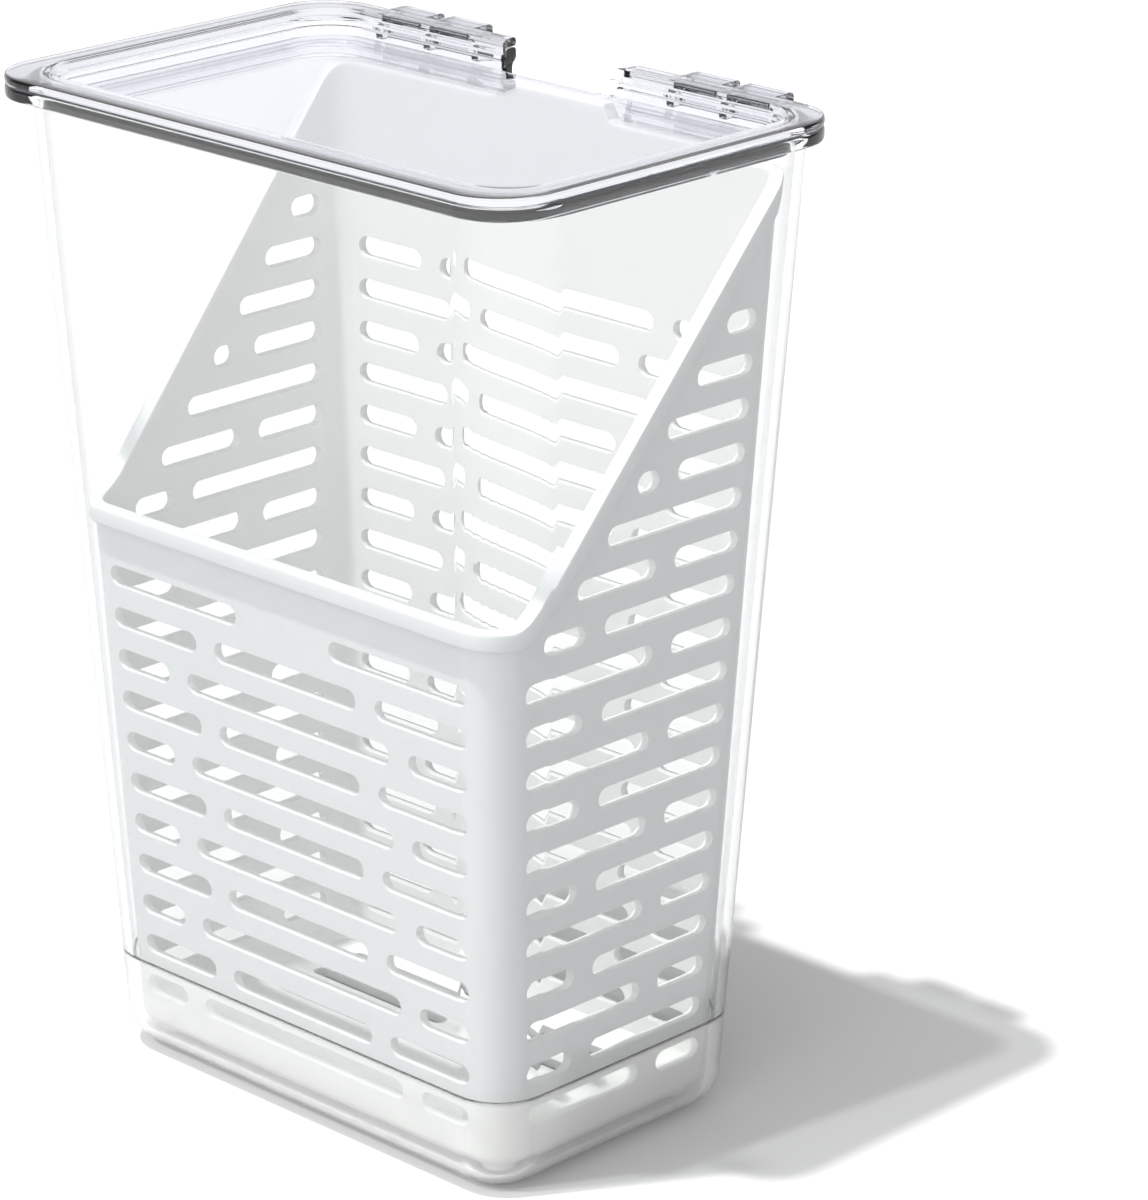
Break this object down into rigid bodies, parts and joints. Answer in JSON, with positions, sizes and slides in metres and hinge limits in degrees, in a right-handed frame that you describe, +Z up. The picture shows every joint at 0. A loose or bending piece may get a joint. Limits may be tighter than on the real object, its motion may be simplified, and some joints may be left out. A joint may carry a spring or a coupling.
{
  "type": "herb keeper",
  "caption": "Tall tapered clear container with a recessed hinged lid and a slotted lift-out basket with a sloping rim, for keeping cut stems upright in water.",
  "frame": {"origin": "centre of the flat foot, on the surface the container stands on", "axes": "+Z up, -Y towards the low front of the basket, +Y towards the hinges and the pouring notch, +X to the right as seen from the front"},
  "size_m": [0.1644, 0.1131, 0.2338],
  "materials": {
    "clear_shell": "clear gloss",
    "clear_lid": "clear gloss",
    "white_basket": "satin"
  },
  "bodies": {
    "container": {"container": "clear_shell"},
    "lid": {"lid": "clear_lid"},
    "basket": {"basket": "white_basket"}
  },
  "joints": [
    {"name": "lid_hinge", "type": "hinge", "parent": "container", "child": "lid", "pos_m": [0, 0.05625, 0.2289], "axis": [-1, 0, 0], "range_deg": [0, 110]},
    {"name": "basket_lift", "type": "slide", "parent": "container", "child": "basket", "axis": [0, 0, 1], "range_m": [0, 0.0015]}
  ]
}
